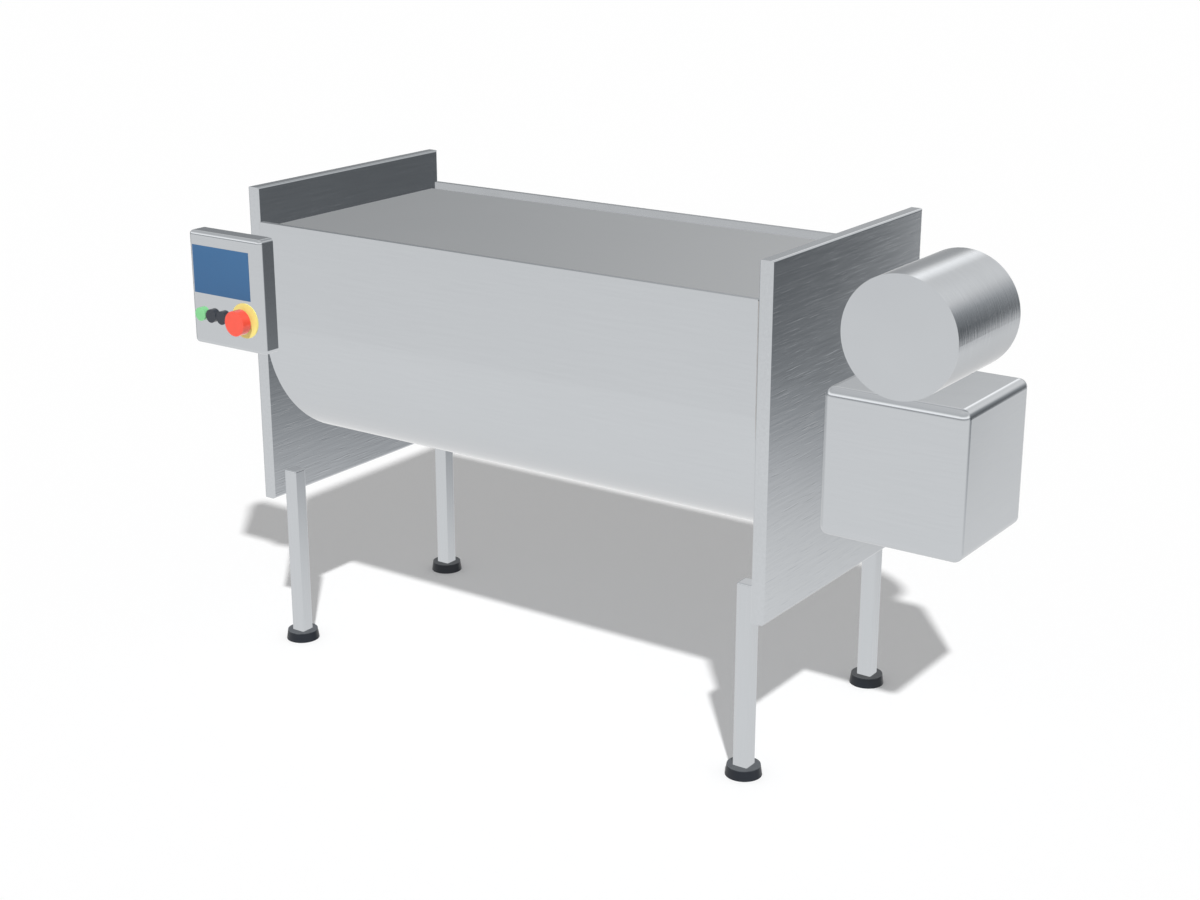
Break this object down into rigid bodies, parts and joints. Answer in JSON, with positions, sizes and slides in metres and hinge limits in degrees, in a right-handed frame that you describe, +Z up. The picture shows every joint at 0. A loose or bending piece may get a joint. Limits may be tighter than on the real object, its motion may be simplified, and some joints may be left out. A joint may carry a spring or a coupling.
{
  "type": "vacuum tumbler",
  "caption": "Free-standing paddle vacuum tumbler: U-shaped steel tub between end plates, inset lid, paddle shaft, end drive and control box.",
  "frame": {"origin": "on the floor under the middle of the machine's overall length and depth", "axes": "+X along the tub towards the drive, +Y to the back, +Z up"},
  "size_m": [2.1064, 0.829, 1.268],
  "materials": {
    "brushed_steel": "fine ground stainless",
    "lid_steel": "fine ground stainless",
    "machined_steel": "turned",
    "foot_black": "black coated steel, satin",
    "seal_rubber": "food-grade white rubber",
    "belt_rubber": "matt",
    "bearing_cast": "painted casting",
    "gear_paint": "satin paint",
    "screen_blue": "glossy screen",
    "green_plastic": "satin",
    "black_plastic": "satin",
    "dark_plastic": "matt",
    "yellow_plastic": "satin",
    "red_plastic": "satin"
  },
  "bodies": {
    "frame": {"tub_shell": "brushed_steel", "tub_jacket": "brushed_steel", "tub_stiffeners": "brushed_steel", "left_end_plate": "brushed_steel", "left_end_pan": "brushed_steel", "right_end_plate": "brushed_steel", "right_end_pan": "brushed_steel", "leg_front_left": "brushed_steel", "leg_front_right": "brushed_steel", "leg_rear_left": "brushed_steel", "leg_rear_right": "brushed_steel", "leg_spacers": "brushed_steel", "lid_ledge": "brushed_steel", "lid_hinge_pins": "brushed_steel", "drive_cover": "brushed_steel", "motor_shelf": "brushed_steel", "motor_saddle": "brushed_steel", "motor_jacket": "brushed_steel", "motor_end_discs": "brushed_steel", "control_housing": "brushed_steel", "control_back": "brushed_steel", "panel_bracket": "brushed_steel", "discharge_spout": "brushed_steel", "door_hinge": "brushed_steel", "vacuum_ferrule": "brushed_steel", "lid_gasket": "seal_rubber", "door_gasket": "seal_rubber", "shaft_seals": "seal_rubber", "drive_belt": "belt_rubber", "left_bearing": "bearing_cast", "gearbox": "gear_paint", "motor_body": "gear_paint", "display": "screen_blue", "estop_collar": "yellow_plastic", "contact_blocks": "dark_plastic", "cable_glands": "dark_plastic"},
    "lid": {"lid_panel": "lid_steel", "lid_liner": "lid_steel"},
    "left_bail": {"lid_bail_left": "brushed_steel"},
    "right_bail": {"lid_bail_right": "brushed_steel"},
    "agitator": {"agitator_shaft": "brushed_steel", "paddle_1": "brushed_steel", "paddle_2": "brushed_steel", "paddle_3": "brushed_steel", "paddle_4": "brushed_steel", "paddle_5": "brushed_steel", "paddle_6": "brushed_steel"},
    "motor_rotor": {"motor_rotor": "machined_steel"},
    "reducer_input": {"input_pulley": "machined_steel"},
    "green_button": {"green_button": "green_plastic"},
    "black_button_left": {"black_button_left": "black_plastic"},
    "black_button_right": {"black_button_right": "black_plastic"},
    "stop_stem": {"estop_stem": "dark_plastic"},
    "stop_head": {"estop_head": "red_plastic"},
    "discharge_door": {"discharge_door": "brushed_steel"},
    "foot_front_left": {"foot_front_left": "foot_black"},
    "foot_front_right": {"foot_front_right": "foot_black"},
    "foot_rear_left": {"foot_rear_left": "foot_black"},
    "foot_rear_right": {"foot_rear_right": "foot_black"}
  },
  "joints": [
    {"name": "lid_hinge", "type": "hinge", "parent": "frame", "child": "lid", "pos_m": [-0.09625, 0.383, 1.146], "axis": [-1, 0, 0], "range_deg": [0, 90]},
    {"name": "left_bail_hinge", "type": "hinge", "parent": "lid", "child": "left_bail", "pos_m": [-0.51625, -0.2535, 1.155], "axis": [-1, 0, 0], "range_deg": [0, 90]},
    {"name": "right_bail_hinge", "type": "hinge", "parent": "lid", "child": "right_bail", "pos_m": [0.32375, -0.2535, 1.155], "axis": [-1, 0, 0], "range_deg": [0, 90]},
    {"name": "agitator_spin", "type": "hinge", "parent": "frame", "child": "agitator", "pos_m": [-0.09625, 0.0495, 0.83885], "axis": [1, 0, 0], "continuous": true},
    {"name": "input_spin", "type": "hinge", "parent": "frame", "child": "reducer_input", "pos_m": [0.87875, 0.1495, 0.69], "axis": [0, 1, 0], "continuous": true},
    {"name": "motor_spin", "type": "hinge", "parent": "frame", "child": "motor_rotor", "pos_m": [0.87875, 0.1495, 1.0748], "axis": [0, 1, 0], "continuous": true},
    {"name": "green_button_press", "type": "slide", "parent": "frame", "child": "green_button", "axis": [0, 1, 0], "range_m": [0, 0.004], "stiffness_N_per_m": 900, "springref_m": -0.002},
    {"name": "black_button_left_press", "type": "slide", "parent": "frame", "child": "black_button_left", "axis": [0, 1, 0], "range_m": [0, 0.004], "stiffness_N_per_m": 900, "springref_m": -0.002},
    {"name": "black_button_right_press", "type": "slide", "parent": "frame", "child": "black_button_right", "axis": [0, 1, 0], "range_m": [0, 0.004], "stiffness_N_per_m": 900, "springref_m": -0.002},
    {"name": "stop_press", "type": "slide", "parent": "frame", "child": "stop_stem", "axis": [0, 1, 0], "range_m": [0, 0.006]},
    {"name": "stop_twist", "type": "hinge", "parent": "stop_stem", "child": "stop_head", "pos_m": [-0.85925, -0.3905, 0.924], "axis": [0, 1, 0], "range_deg": [0, 45], "stiffness_Nm_per_rad": 0.05, "springref_deg": -11.46},
    {"name": "door_swing", "type": "hinge", "parent": "frame", "child": "discharge_door", "pos_m": [-0.92155, 0.1775, 0.657], "axis": [0, 0, -1], "range_deg": [0, 110]},
    {"name": "foot_front_left_screw", "type": "slide", "parent": "frame", "child": "foot_front_left", "axis": [0, 0, -1], "range_m": [0, 0.03]},
    {"name": "foot_front_right_screw", "type": "slide", "parent": "frame", "child": "foot_front_right", "axis": [0, 0, -1], "range_m": [0, 0.03]},
    {"name": "foot_rear_left_screw", "type": "slide", "parent": "frame", "child": "foot_rear_left", "axis": [0, 0, -1], "range_m": [0, 0.03]},
    {"name": "foot_rear_right_screw", "type": "slide", "parent": "frame", "child": "foot_rear_right", "axis": [0, 0, -1], "range_m": [0, 0.03]}
  ],
  "couplings": [
    {"joint": "input_spin", "follows": "agitator_spin", "ratio": 20},
    {"joint": "motor_spin", "follows": "agitator_spin", "ratio": 30}
  ]
}
